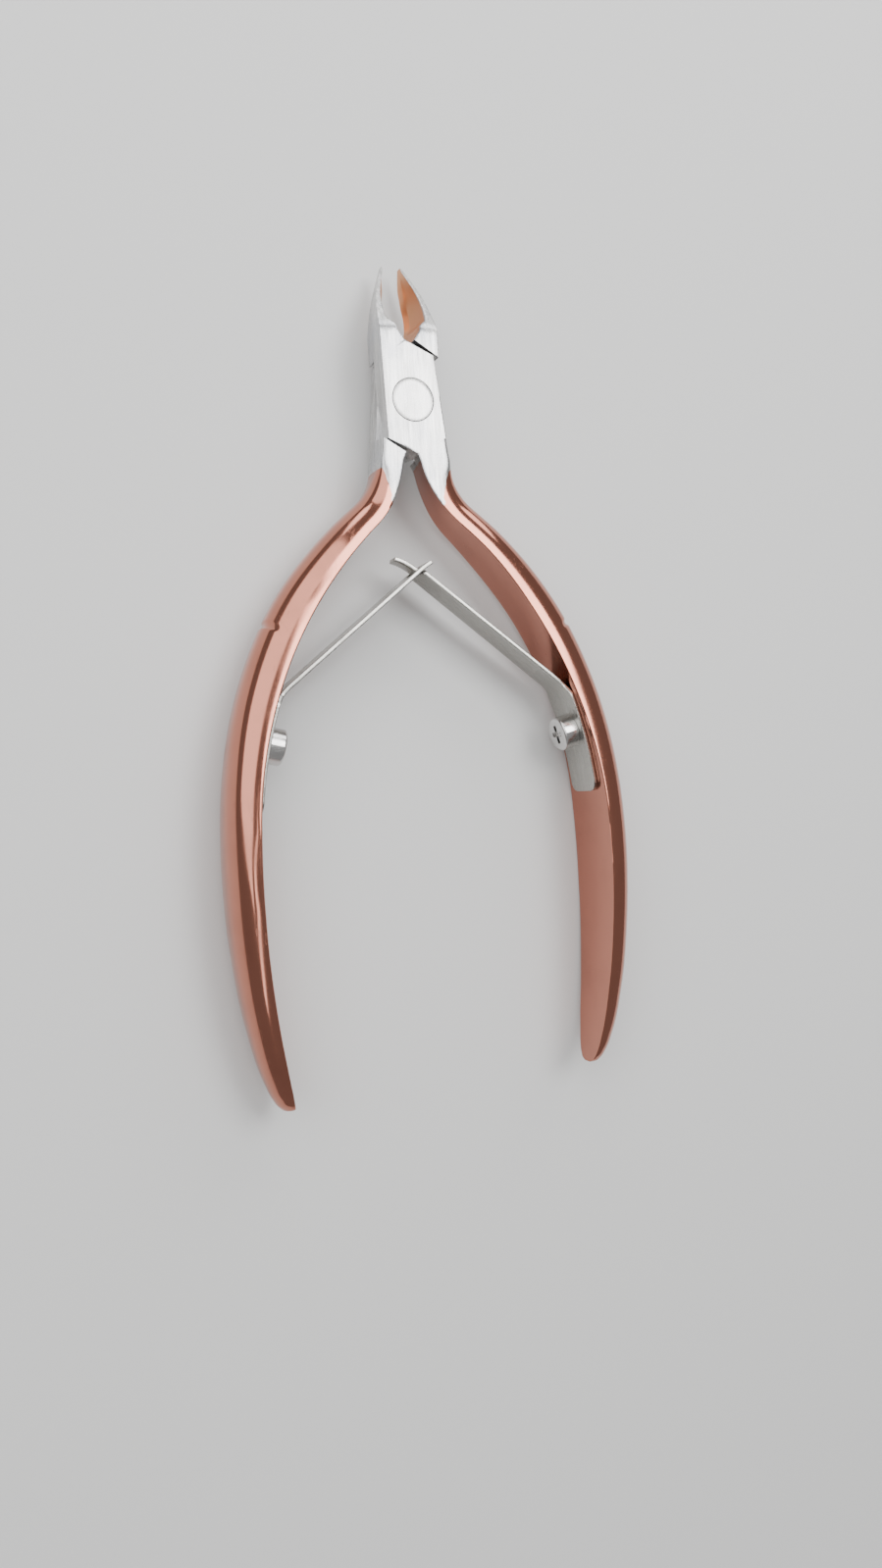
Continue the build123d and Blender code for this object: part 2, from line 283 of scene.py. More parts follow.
SIDE_DRAFT = (0.05, 0.36)   # how far a jaw's side comes in at the mid-plane and at the bottom
RIM_MOST = 0.8              # shares of a jaw's half width: the land's inner side at most,
EDGE_MOST = 0.3             # and the cutting edge at most
TIP_ZONE = 0.9              # the stations crowd together over this length at the tips
SHOULDER_FALL = 0.55        # per millimetre of width, front and rear
SHOULDER_RISE = 0.515
BEND_FROM = 12.2            # ahead of this the stations run straight across
CLEAR_FRONT = 0.115         # half the gap at the front shoulders
CLEAR_REAR = 0.34           # how far the rear walls stand back from the shoulders
MIDDLE = (-0.12, 0.3)       # inner corner of the lap plate, front and rear
TWIST = 0.5                 # lean of the inner face at the crotch, lost further down the neck
PLATE_CHAMFER = 0.1         # at the ends of the lap plate
ROOT_STATIONS = 5           # from the rear shoulder to the crotch
INNER_ARCS = {"crotch": (0.62, -7.4), "neck": (4.35, -15.2), "wide": (18.5, -50.5)}
END_IN = 4.6                # how far the handle ends come in from the widest place

# along a handle: place, height, greatest thickness, squareness of the crown
HANDLE_ROWS = [
    (-6.2, 5.6, 3.95, 16.0), (-7.4, 5.6, 3.42, 15.0), (-8.0, 5.6, 3.34, 12.0),
    (-9.4, 5.6, 3.28, 5.6), (-10.6, 5.6, 3.28, 3.7), (-11.9, 5.64, 3.28, 3.0),
    (-13.5, 5.8, 3.30, 2.7), (-18.5, 7.1, 3.7, 2.55), (-26.0, 7.2, 4.2, 2.5),
    (-36.0, 7.9, 4.1, 2.5), (-46.0, 9.0, 3.75, 2.5), (-56.0, 9.7, 3.6, 2.45),
    (-65.0, 8.95, 3.4, 2.4), (-73.0, 7.7, 3.05, 2.35), (-79.0, 5.95, 2.45, 2.2),
    (-81.0, 4.75, 2.0, 2.1), (-82.1, 3.5, 1.5, 2.0), (-82.6, 2.4, 1.0, 2.0),
    (-82.8, 1.3, 0.5, 2.0),
]
NOTCH_PLACE = -29.1
NOTCH_WIDTH = 0.33          # half the width of the nick
ROOT_FIT = (-6.6, 1.6)      # the root fits the head up to here, and lets go over this length
LEAN_SPAN = (-15.5, 8.0)    # the inner face's lean starts here and grows over this length
HALF_HEIGHT = 4.74          # the handles' limit above and below the mid-plane
PLATING_FROM = (7.2, 2.1)   # behind the pivot: on the inner face, and this much more outside
LAND_PLATING = (5.3, -5.6)  # and on the flat land this much more inside, this change outside
PLATING_EDGE = 0.6          # width of the blurred edge that the finish sharpens
RING_RUNS = (3, 6, 10, 10, 4, 6, 16, 4, 3, 3)   # steps between the ten corners of a ring


def inner_line(y, end_y):
    """Inner line of a handle, jaws shut, by height: three tangent arcs. The upper and lower arcs
    are upright at the widest place, with radius d^2 / 2w for a chord d and a width w; the neck
    arc meets the upper one at the neck and passes through the crotch. Returns x and the unit
    direction out through the handle."""
    (crotch_x, crotch_y), (neck_x, neck_y), (wide_x, wide_y) = INNER_ARCS.values()
    upper = math.hypot(wide_x - neck_x, wide_y - neck_y) ** 2 / (2 * (wide_x - neck_x))
    lower = math.hypot(END_IN, wide_y - end_y) ** 2 / (2 * END_IN)
    lean = math.asin((neck_y - wide_y) / upper)
    dx, dy = crotch_x - neck_x, crotch_y - neck_y
    neck = (dx * dx + dy * dy) / (2 * (dx * math.cos(lean) + dy * math.sin(lean)))
    centre_x = neck_x + neck * math.cos(lean)
    centre_y = neck_y + neck * math.sin(lean)
    rise_neck = np.clip((centre_y - y) / neck, -1, 1)
    rise_up = np.clip((y - wide_y) / upper, -1, 1)
    rise_low = np.clip((y - wide_y) / lower, -1, 1)
    rise = np.select([y > neck_y, y > wide_y], [rise_neck, rise_up], rise_low)
    level = np.sqrt(1 - rise ** 2)
    x = np.select([y > neck_y, y > wide_y],
                  [centre_x - neck * level, wide_x - upper * (1 - level)],
                  wide_x - lower * (1 - level))
    return x, level, rise


def side_of_head(y, sizes):
    """Half width of the head: straight from the front to the rear, then the jaw's side table."""
    front, rear = sizes.head_front / MM, sizes.head_rear / MM
    straight = front + (rear - front) * (HEAD_SPAN[0] - y) / (HEAD_SPAN[0] - HEAD_SPAN[1])
    return np.where(y > SIDE_TABLE_FROM, smooth_through(y, JAW_SIDE), straight)


def top_of_jaw(y, half):
    """Height of the top: level, then the ramp, joined by a soft corner d*log(1 + e^(t/d)) with
    d the softness in millimetres."""
    start, run, fall = RAMP
    soft = 0.22
    past = soft * np.logaddexp(0, (y - start) / soft)
    return half - past * fall / run


def meet(station, bend, table_at):
    """Where a station line y = station - bend*|x| meets a plan line x = f(y), by substitution."""
    x = table_at(station)
    for _ in range(25):
        x = 0.5 * x + 0.5 * table_at(station - bend * x)
    return x


def hollow_chain(rim, rim_top, ridge, ridge_top, count, to_ridge):
    """Hollow wall of a jaw, from the rim down to the ridge over the cutting edge: with t the
    share of the way across, z = ridge + (rim - ridge)(t + t^2)/2, so it steepens to the rim."""
    t = np.arange(count) / count
    t = (1 - t if to_ridge else t)[None]
    x = ridge[:, None] + (rim - ridge)[:, None] * t
    z = ridge_top[:, None] + (rim_top - ridge_top)[:, None] * (t + t * t) / 2
    return np.stack([-x, z], axis=-1)


def jaw_rings(station, bend, sizes, plate_up):
    """Rings of the left jaw, in front of the shoulder. The top has a narrow land, then the
    hollow wall down to a ridge and the bevel under it, which ends at the cutting edge on the
    underside; the outer side is drafted."""
    half = sizes.head_thick / MM / 2
    lap = sizes.lap_gap / MM / 2
    outer = meet(station, bend, lambda y: side_of_head(y, sizes))
    edge = meet(station, bend, lambda y: smooth_through(y, INNER_EDGE))
    rim = meet(station, bend, lambda y: smooth_through(y, RIM_INSIDE))
    rim = np.minimum(np.maximum(rim, edge + 0.015), outer * RIM_MOST)
    edge = np.minimum(edge, outer * EDGE_MOST)
    outer_top = top_of_jaw(station - bend * outer, half)
    rim_top = top_of_jaw(station - bend * rim, half)
    level = np.minimum(smooth_through(station, RIDGE_LEVEL), rim_top - 0.2)
    level[-1] = lap
    ridge = edge + (rim - edge) * smooth_through(station, RIDGE_SHARE)
    waist = outer - SIDE_DRAFT[0]
    draft = np.maximum(outer - SIDE_DRAFT[1], outer * 0.8)
    low = np.full_like(station, -half)
    n = RING_RUNS
    mid = sum(n[1:6])
    if plate_up:
        middle = np.minimum(lap, outer_top - 0.2)
        runs = [
            spread(pair(-outer, outer_top), pair(-rim, rim_top), n[0]),
            hollow_chain(rim, rim_top, ridge, level, mid, True),
            spread(pair(-ridge, level), pair(-edge, low), n[6]),
            spread(pair(-edge, low), pair(-draft, low), n[7]),
            spread(pair(-draft, low), pair(-waist, middle), n[8]),
            spread(pair(-waist, middle), pair(-outer, outer_top), n[9]),
        ]
    else:
        level = -level
        level[-1] = lap
        middle = np.maximum(lap, 0.2 - outer_top)
        runs = [
            spread(pair(-draft, -low), pair(-edge, -low), n[0]),
            spread(pair(-edge, -low), pair(-ridge, level), mid),
            hollow_chain(rim, -rim_top, ridge, level, n[6], False),
            spread(pair(-rim, -rim_top), pair(-outer, -outer_top), n[7]),
            spread(pair(-outer, -outer_top), pair(-waist, middle), n[8]),
            spread(pair(-waist, middle), pair(-draft, -low), n[9]),
        ]
    return np.concatenate(runs, axis=1)


def plate_rings(station, bend, middle, lap_middle, sizes, chamfer, plate_up):
    """Rings of the lap plate: the full width of the head and half its thickness. The chamfer
    takes a little off the far top edge and side at the ends of the plate."""
    half = sizes.head_thick / MM / 2
    lap = sizes.lap_gap / MM / 2
    side = meet(station, bend, lambda y: side_of_head(y, sizes))
    if plate_up:
        left_top = top_of_jaw(station - bend * side, half)
        middle_top = top_of_jaw(station - bend * np.abs(middle), half)
    else:
        left_top = middle_top = np.full_like(station, half)
    front, rear = chamfer
    n = RING_RUNS
    thirds = [(1 - k / 3, k / 3) for k in (0, 1, 2, 3)]
    lap_right = [pair(side * a + lap_middle * b - front * a, lap) for a, b in thirds]
    lap_left = [pair(lap_middle * a - side * b + rear * b, lap) for a, b in thirds]
    runs = [
        spread(pair(-side + rear, left_top - rear), pair(middle, middle_top), n[0]),
        spread(pair(middle, middle_top - front), pair(side - front, half - front), n[1]),
        spread(pair(side - front, half - front), pair(side - front, lap), n[2]),
        *(spread(lap_right[k], lap_right[k + 1], n[3 + k]) for k in range(3)),
        *(spread(lap_left[k], lap_left[k + 1], n[6 + k]) for k in range(3)),
        spread(pair(-side + rear, lap), pair(-side + rear, left_top - rear), n[9]),
    ]
    return np.concatenate(runs, axis=1)


def handle_rings(y, sizes):
    """D-shaped rings of a handle: flat inner face, and a crown (p/T)^n + (z/h)^n = 1, where T is
    the thickness, h half the height and n the squareness, so p = T sin(a)^(2/n) and
    z = h cos(a)^(2/n). Across is measured out from the inner line."""
    rows = np.array(HANDLE_ROWS)
    scale = -sizes.handle_end / MM / rows[-1, 0]
    at = rows[:, 0] * np.where(rows[:, 0] < -60, scale, 1)
    height, thick, square = [smooth_through(y, list(zip(at, rows[:, k]))) for k in (1, 2, 3)]
    half = height / 2
    nick = np.exp(-((y - NOTCH_PLACE) / NOTCH_WIDTH) ** 4)
    n = RING_RUNS
    power = (2 / square)[:, None]

    def crown(count, start, end):
        angle = np.radians(start + (end - start) * np.arange(count) / count)[None]
        up = np.cos(angle)
        depth = sizes.notch_depth / MM * nick[:, None] * ease(np.abs(np.sin(angle)) * 2.2 - 0.9)
        across = thick[:, None] * np.abs(np.sin(angle)) ** power - depth
        return np.stack([across, half[:, None] * np.sign(up) * np.abs(up) ** power], axis=-1)

    foot = np.zeros_like(half)
    start = sum(n[6:10])
    flat = spread(pair(foot, foot), pair(foot, half), start + n[0])
    runs = [flat[:, start:], crown(n[1] + n[2], 0, 90), crown(n[3] + n[4], 90, 180),
            spread(pair(foot, -half), pair(foot, foot), n[5]), flat[:, :start]]
    ring = np.concatenate(runs, axis=1)
    ring[..., 1] = np.clip(ring[..., 1], -HALF_HEIGHT, HALF_HEIGHT)
    return ring


def head_stations(sizes):
    """Stations of the jaw and of the lap plate. Each is a chevron y = s - k|x|: k runs from 0 at
    the tip to the slope of the front shoulder, then through 0 to the slope of the rear shoulder,
    so both shoulders lie along stations. Returns s and k of each, and the plate's easing."""
    front = sizes.shoulder_front / MM
    rear = -sizes.shoulder_rear / MM
    tip = sizes.jaw_length / MM
    ahead, behind = front + CLEAR_FRONT, front - CLEAR_FRONT
    near_tip = tip - TIP_ZONE * np.linspace(0, 1, 9)[:-1] ** 1.6
    jaw_at = np.concatenate([near_tip, np.linspace(tip - TIP_ZONE, ahead, 52)])
    jaw_bend = SHOULDER_FALL * ease((BEND_FROM - jaw_at) / (BEND_FROM - ahead))
    plate_at = np.concatenate([
        [behind, behind - PLATE_CHAMFER], np.linspace(behind - 0.4, rear + 0.4, 30),
        [rear + PLATE_CHAMFER, rear]])
    along = (behind - plate_at) / (behind - rear)
    plate_bend = SHOULDER_FALL * (1 - along) - SHOULDER_RISE * along
    return jaw_at, jaw_bend, plate_at, plate_bend, ease(along)


def chevrons(ring, station, bend):
    """Points of rings of (across, height) whose stations are the chevrons y = s - k|x|."""
    across = ring[..., 0]
    return np.stack([across, station[:, None] - bend[:, None] * np.abs(across), ring[..., 1]],
                    axis=-1)


def handle_lines(sizes):
    """Stations of the handle, each a straight line out from its inner line. From the rear
    shoulder to the crotch they swing from the slope of the shoulder to that of the crotch.
    Returns the height, start and direction of each, and the swing left at the first ones."""
    rear = -sizes.shoulder_rear / MM
    end = -sizes.handle_end / MM
    crotch_x, crotch_y = INNER_ARCS["crotch"]
    start_x = MIDDLE[1]
    root_y = np.linspace(rear + start_x * SHOULDER_RISE, crotch_y, ROOT_STATIONS)
    spans = ((crotch_y, -14, 24), (-14, NOTCH_PLACE + 1, 26),
             (NOTCH_PLACE + 1, NOTCH_PLACE - 1, 20), (NOTCH_PLACE - 1, end + 3, 84))
    y = np.concatenate([root_y[:-1], *(np.linspace(*span)[:-1] for span in spans),
                        end + 3 * (1 - np.linspace(0, 1, 16)) ** 1.6])
    x, level, rise = inner_line(y, end)
    way = np.arctan2(rise, level)
    swing = np.linspace(0, 1, ROOT_STATIONS)
    start_way = math.atan(SHOULDER_RISE)
    way[:ROOT_STATIONS] = start_way + (way[ROOT_STATIONS - 1] - start_way) * swing
    x[:ROOT_STATIONS] = start_x + (crotch_x - start_x) * swing
    return y, x, way, 1 - swing


def fitted_grip(y, x, way, sizes):
    """Rings of the handle, with the root widened to the side of the head. Returns them, how near
    each point is to the inner face, from 0 to 1, and the sideways lean of that face."""
    grip = handle_rings(y, sizes)
    reach = (side_of_head(y, sizes) - x) / np.cos(way)
    grown = ease((y[:, None] - ROOT_FIT[0]) / -ROOT_FIT[1])
    fitted = grip[..., 0] * (reach / grip[..., 0].max(1))[:, None]
    grip[..., 0] = grip[..., 0] * grown + fitted * (1 - grown)
    inner = 1 - grip[..., 0] / grip[..., 0].max(1, keepdims=True)
    half = sizes.head_thick / MM / 2
    growth = ease((y[:, None] - LEAN_SPAN[0]) / LEAN_SPAN[1])
    lean = -growth * TWIST * inner * grip[..., 1] / half
    grip[..., 0] += np.maximum(lean, 0)
    return grip, inner, lean


def plating_on_grip(y, grip, inner, on_crown):
    """Cover of the plating on the handle, from 0 to 1: it starts behind the head, and the flat
    land on top stays bare further down, narrowing as it goes."""
    out = 1 - inner
    up = np.abs(grip[..., 1]) / grip[..., 1].max(1, keepdims=True)
    land = on_crown * ease((up - 0.88) / 0.1)
    start = PLATING_FROM[0] + PLATING_FROM[1] * out
    start = start + land * (LAND_PLATING[0] + LAND_PLATING[1] * out)
    return np.clip(0.5 - (y[:, None] + start) / PLATING_EDGE, 0, 1)


def forged_points(sizes, plate_up):
    """Left jaw, lap plate and right handle as one run of rings, and the plating at each point.
    The ten corners of a ring are at the marks; a rounded corner is four points."""
    round_by = sizes.edge_round / MM
    marks = np.cumsum((0,) + RING_RUNS[:-1])
    corners = {int(m) for m in marks}
    ring_at = np.arange(sum(RING_RUNS))
    repeats = np.where(np.isin(ring_at, list(corners)), 4, 1)
    jaw_at, jaw_bend, plate_at, plate_bend, along = head_stations(sizes)

    jaw = jaw_rings(jaw_at, jaw_bend, sizes, plate_up)
    blunt = (0, 1, 8) if plate_up else (0, 7, 8)
    jaw = round_corners(jaw, marks[list(blunt)], corners, round_by)
    jaw_points = chevrons(jaw, jaw_at, jaw_bend)

    lap_middle = MIDDLE[0] + (MIDDLE[1] - MIDDLE[0]) * along
    cut = PLATE_CHAMFER
    front_cut = np.where(plate_at > plate_at[0] - cut / 2, cut, 0.0)
    rear_cut = np.where(plate_at < plate_at[-1] + cut / 2, cut, 0.0)
    plate = plate_rings(plate_at, plate_bend, lap_middle - TWIST * along, lap_middle, sizes,
                        (front_cut, rear_cut), plate_up)
    plate = round_corners(plate, marks[[0, 2]], corners, round_by)
    plate_points = chevrons(plate, plate_at, plate_bend)
    front_wall = np.repeat((ring_at > marks[6]) & (ring_at <= marks[9]), repeats)
    rear_wall = np.repeat((ring_at > marks[3]) & (ring_at <= marks[6]), repeats)
    plate_points[0, front_wall, 1] += 2 * CLEAR_FRONT
    plate_points[-2:, rear_wall, 1] -= CLEAR_REAR

    y, x, way, swing_left = handle_lines(sizes)
    grip, inner, lean = fitted_grip(y, x, way, sizes)
    on_crown = (ring_at >= marks[1]) & (ring_at <= marks[5])
    cover = plating_on_grip(y, grip, inner, on_crown)
    grip = round_corners(grip, marks[[1, 5]], corners, 2 * round_by)
    lean = np.repeat(lean, repeats, axis=1)
    across, height = grip[..., 0], grip[..., 1]
    handle = np.stack([
        x[:, None] + across * np.cos(way)[:, None] + np.minimum(lean, 0),
        y[:, None] + across * np.sin(way)[:, None], height], axis=-1)
    below = height[:ROOT_STATIONS] < -0.01
    handle[:ROOT_STATIONS, :, 1] -= CLEAR_REAR * swing_left[:, None] * below

    in_hollow = (ring_at > marks[1]) & (ring_at < marks[7])
    jaw_cover = np.tile(in_hollow * 1.0, (len(jaw_at) - 1, 1))
    bare = np.zeros((1 + len(plate_at), len(ring_at)))
    plated = np.repeat(np.concatenate([jaw_cover, bare, cover]), repeats, axis=1)
    return np.concatenate([jaw_points, plate_points, handle]), plated


def forged_half(name, sizes, plate_up, material):
    """One half in place. The back half is the same run of rings with its plate below, mirrored."""
    points, plated = forged_points(sizes, plate_up)
    if not plate_up:
        points = points * np.array([-1, 1, -1])
    side = 1 if plate_up else -1
    vertices, faces = tube(place(points, sizes.opening, side))
    plated = np.concatenate([plated.ravel(), [0.0, 1.0]])     # the tip's and the end's middles
    return make_mesh(name, vertices, faces, material, plated=plated)


# ---- rivet, springs, screws ----
FOOT_ENDS = (-48.9, -35.6)       # lower end of a spring's foot, and its bend, jaws shut
FOOT_CORNER = 1.3                # rounding of the foot's free end
EDGE_BREAK = 0.07                # bevel of the strip's edges
BEND_REACH = 1.5                 # length of the bend on each side of its corner
BEND_AT = 13.6                   # from the free end of the foot to the bend, along the strip
CROSSING = np.array([0.0, -20.0])                 # of the arms, at rest
TONGUE_TIP = [(-1.9, -18.85), (-3.0, -18.5)]      # past the crossing: the right arm's end
SLOT_TIP = [(-0.8, -19.42), (-1.5, -19.0)]        # and the left arm's, mirrored


def revolve(profile, steps):
    """Surface of revolution about Z: each (radius, height) of the profile is a ring."""
    angle = np.linspace(0, 2 * math.pi, steps, endpoint=False)
    radius, height = np.array(profile, float).T
    return np.stack([radius[:, None] * np.cos(angle), radius[:, None] * np.sin(angle),
                     np.broadcast_to(height[:, None], (len(radius), steps))], axis=-1)


def rivet_profile(sizes):
    """Flush rivet: a slightly crowned head at each end, with a rounded rim, and a coned neck."""
    half = sizes.head_thick / MM / 2
    radius = sizes.rivet_width / MM / 2
    proud = 0.02
    rim = 0.035
    top = [(0.05, half + proud + 0.012), (radius * 0.5, half + proud + 0.009),
           (radius * 0.8, half + proud + 0.003), (radius - rim, half + proud),
           (radius - rim * 0.3, half + proud - rim * 0.3), (radius, half + proud - rim),
           (radius, half - 0.15), (radius - 0.95, half - 1.3)]
    return top + [(r, -z) for r, z in reversed(top)]


def strip_path(sizes, tip):
    """Middle line of the right spring at rest: the curved foot on the handle, a rounded bend, a
    straight arm to the crossing, and the given points beyond it. The bend is the quadratic
    Bezier whose corner is the bend point. Returns the points and that corner."""
    half_thick = sizes.spring_thick / MM / 2
    end = -sizes.handle_end / MM
    foot_y = np.linspace(*FOOT_ENDS, 40)
    x, level, _ = inner_line(foot_y, end)
    foot = np.stack([x - half_thick * level, foot_y], -1)
    c, s = math.cos(sizes.opening / 2), math.sin(sizes.opening / 2)
    foot = np.stack([c * foot[:, 0] - s * foot[:, 1], s * foot[:, 0] + c * foot[:, 1]], -1)
    corner = foot[-1]
    way_up = (foot[-1] - foot[-4]) / np.linalg.norm(foot[-1] - foot[-4])
    way_arm = (CROSSING - corner) / np.linalg.norm(CROSSING - corner)
    near = corner - way_up * BEND_REACH
    far = corner + way_arm * BEND_REACH
    keep = foot[foot[:, 1] < near[1] - 0.2]
    t = np.linspace(0, 1, 10)[:, None]
    bend = (1 - t) ** 2 * near + 2 * t * (1 - t) * corner + t * t * far
    arm = far + (CROSSING - far) * np.linspace(0, 1, 40)[1:-3, None]
    beyond_x = np.linspace(arm[-1, 0], tip[-1][0], 16)[1:]
    table = [(arm[-3, 0], arm[-3, 1]), (arm[-1, 0], arm[-1, 1])] + [tuple(p) for p in tip]
    beyond = np.stack([beyond_x, smooth_through(beyond_x, table)], -1)
    return np.concatenate([keep, bend, arm, beyond]), corner


def strip(name, sizes, tip, widths, across, stops, keep, side, material):
    """Spring strip: the path carried across its width. A point is path(u) with z = v * half
    width(u), v from across; stops are extra places past the crossing where a line of points
    falls. keep(u, z) tells which cells are metal, so a slot or a tongue is left-out cells.
    Solidify gives the thickness and a bevel breaks the edges. Returns the bend's corner too."""
    path, corner = strip_path(sizes, tip)
    gone = np.concatenate([[0], np.cumsum(np.linalg.norm(np.diff(path, axis=0), axis=1))])
    cross_at = gone[np.argmin(np.linalg.norm(path - CROSSING, axis=1))]
    at = np.unique(np.round(np.concatenate([
        np.linspace(0, 2.0, 14), np.linspace(2.0, gone[-1] - 1.0, 110),
        np.linspace(gone[-1] - 1.0, gone[-1], 10), cross_at + np.array(stops)]), 5))
    at = at[(at >= 0) & (at <= gone[-1])]
    x = np.interp(at, gone, path[:, 0])
    y = np.interp(at, gone, path[:, 1])
    half = widths(at, cross_at)
    z = half[:, None] * across[None]
    points = np.stack([np.broadcast_to(x[:, None], z.shape) * side,
                       np.broadcast_to(y[:, None], z.shape), z], -1)
    n, m = z.shape
    i, j = np.meshgrid(np.arange(n - 1), np.arange(m - 1), indexing="ij")
    cells = np.stack([i * m + j, (i + 1) * m + j, (i + 1) * m + j + 1, i * m + j + 1], -1)
    u_mid = (at[:-1] + at[1:])[:, None] / 2 - cross_at
    z_mid = (z[:-1, :-1] + z[1:, 1:]) / 2
    cells = cells[keep(u_mid, z_mid)]
    piece = make_mesh(name, place(points.reshape(-1, 3), 0.0), cells.tolist(), material, 30)
    wall = piece.modifiers.new("thickness", "SOLIDIFY")
    wall.thickness = sizes.spring_thick
    wall.offset = 0.0
    soft = piece.modifiers.new("broken_edges", "BEVEL")
    soft.width = EDGE_BREAK * MM
    soft.segments = 2
    soft.limit_method = "ANGLE"
    soft.angle_limit = math.radians(50)
    soft.use_clamp_overlap = False
    soft.harden_normals = False
    return piece, corner


# ---- finishes ----
SEAM_RADIUS = 0.00257            # metres, just outside the rivet's head
SEAM_WIDTH = (0.00005, 0.00009)  # full up to the first, gone by the second
SEAM_COLOUR = (0.03, 0.03, 0.03)
PAINTED_REFLECTION_GREY = (0.52, 0.56, 0.64) # the steel's share in the bluish-grey patches, a painted reflection placed by the smudge noise
BUMP_DEPTH = 0.00002


def feed(tree, value, socket):
    """Gives an input a plain value, or links another node's output to it."""
    if isinstance(value, bpy.types.NodeSocket):
        tree.links.new(value, socket)
    else:
        socket.default_value = value


def add(tree, kind, **values):
    """One node, with its settings and what its inputs get."""
    node = tree.nodes.new(kind)
    for key, value in values.items():
        if key in node.inputs:
            feed(tree, value, node.inputs[key])
        elif hasattr(node, key):
            setattr(node, key, value)
        else:
            feed(tree, value, node.inputs[key.replace("_", " ")])
    return node


def noise_of(tree, coords, scale, **values):
    """Value of a noise texture."""
    return add(tree, "ShaderNodeTexNoise", Vector=coords, Scale=scale, **values).outputs["Fac"]


def blend_of(tree, factor, first, second):
    """Mix of two colours by a factor; each is a colour or the output of a node."""
    mix = add(tree, "ShaderNodeMix", data_type="RGBA")
    feed(tree, factor, mix.inputs[0])
    for k, colour in ((6, first), (7, second)):
        plain = not isinstance(colour, bpy.types.NodeSocket)
        feed(tree, (*colour, 1) if plain else colour, mix.inputs[k])
    return mix.outputs[2]


def map_range(tree, value, low, high, to_low, to_high):
    """A value moved from one range to another."""
    return add(tree, "ShaderNodeMapRange", Value=value, From_Min=low, From_Max=high,
               To_Min=to_low, To_Max=to_high).outputs[0]


def math_of(tree, operation, *values):
    """One arithmetic step; each value is a number or the output of a node."""
    node = add(tree, "ShaderNodeMath", operation=operation)
    for k, value in enumerate(values):
        feed(tree, value, node.inputs[k])
    return node.outputs[0]


def bump_of(tree, shader, height, strength):
    """Fine relief on a shader, from a height."""
    bump = add(tree, "ShaderNodeBump", Strength=strength, Distance=BUMP_DEPTH, Height=height)
    tree.links.new(bump.outputs[0], shader.inputs["Normal"])


def new_group(name, inputs, outputs):
    """Empty shader node group with named inputs and outputs."""
    tree = bpy.data.node_groups.new(name, "ShaderNodeTree")
    for label, kind, value in inputs:
        socket = tree.interface.new_socket(label, in_out="INPUT", socket_type=kind)
        if value is not None:
            socket.default_value = value
    for label, kind in outputs:
        tree.interface.new_socket(label, in_out="OUTPUT", socket_type=kind)
    return tree, tree.nodes.new("NodeGroupInput"), tree.nodes.new("NodeGroupOutput")


def grinding_group():
    """Fine parallel grinding marks: two noises drawn out along one axis."""
    found = bpy.data.node_groups.get("grinding_marks")
    if found:
        return found
    tree, source, sink = new_group(
        "grinding_marks",
        [("Vector", "NodeSocketVector", None), ("Stretch", "NodeSocketVector", (9, 0.35, 9)),
         ("Fineness", "NodeSocketFloat", 1400.0)],
        [("Value", "NodeSocketFloat"), ("Coarse", "NodeSocketFloat")])
    link = tree.links.new
    fineness = source.outputs["Fineness"]
    long = add(tree, "ShaderNodeVectorMath", operation="MULTIPLY")
    link(source.outputs["Vector"], long.inputs[0])
    link(source.outputs["Stretch"], long.inputs[1])
    fine = noise_of(tree, long.outputs[0], fineness, Detail=3.0, Roughness=0.6)
    third = math_of(tree, "MULTIPLY", fineness, 0.22)
    coarse = noise_of(tree, long.outputs[0], third, Detail=2.0, Roughness=0.5)
    link(fine, sink.inputs["Value"])
    link(coarse, sink.inputs["Coarse"])
    return tree


def handling_group():
    """Marks of use: soft smudges, and sparse hairline scuffs from ridged, drawn-out noise."""
    found = bpy.data.node_groups.get("handling_marks")
    if found:
        return found
    tree, source, sink = new_group(
        "handling_marks",
        [("Vector", "NodeSocketVector", None), ("Scale", "NodeSocketFloat", 160.0)],
        [("Smudge", "NodeSocketFloat"), ("Scuff", "NodeSocketFloat")])
    coords, scale = source.outputs["Vector"], source.outputs["Scale"]
    cloud = noise_of(tree, coords, scale, Detail=4.0, Roughness=0.55)
    smudge = map_range(tree, cloud, 0.45, 0.75, 0.0, 1.0)
    turned = add(tree, "ShaderNodeMapping", Vector=coords, Rotation=(0.3, 0.2, 0.7),
                 Scale=(7.0, 0.5, 7.0))
    hair = noise_of(tree, turned.outputs["Vector"], scale, Detail=2.0, Roughness=0.5,
                    Distortion=0.3)
    ridge = math_of(tree, "COMPARE", hair, 0.62, 0.006)
    tree.links.new(smudge, sink.inputs["Smudge"])
    tree.links.new(math_of(tree, "MULTIPLY", ridge, smudge), sink.inputs["Scuff"])
    return tree


def use_group(tree, group, coords, **values):
    """Places a group in a material, reading the piece's own coordinates."""
    node = tree.nodes.new("ShaderNodeGroup")
    node.node_tree = group
    tree.links.new(coords, node.inputs["Vector"])
    for key, value in values.items():
        node.inputs[key].default_value = value
    return node


def new_material(name, metallic=1.0):
    """Material with a Principled shader, and the piece's own coordinates."""
    material = bpy.data.materials.new(name)
    material.use_nodes = True
    tree = material.node_tree
    shader = tree.nodes["Principled BSDF"]
    shader.inputs["Metallic"].default_value = metallic
    coords = tree.nodes.new("ShaderNodeTexCoord").outputs["Object"]
    return material, tree, shader, coords


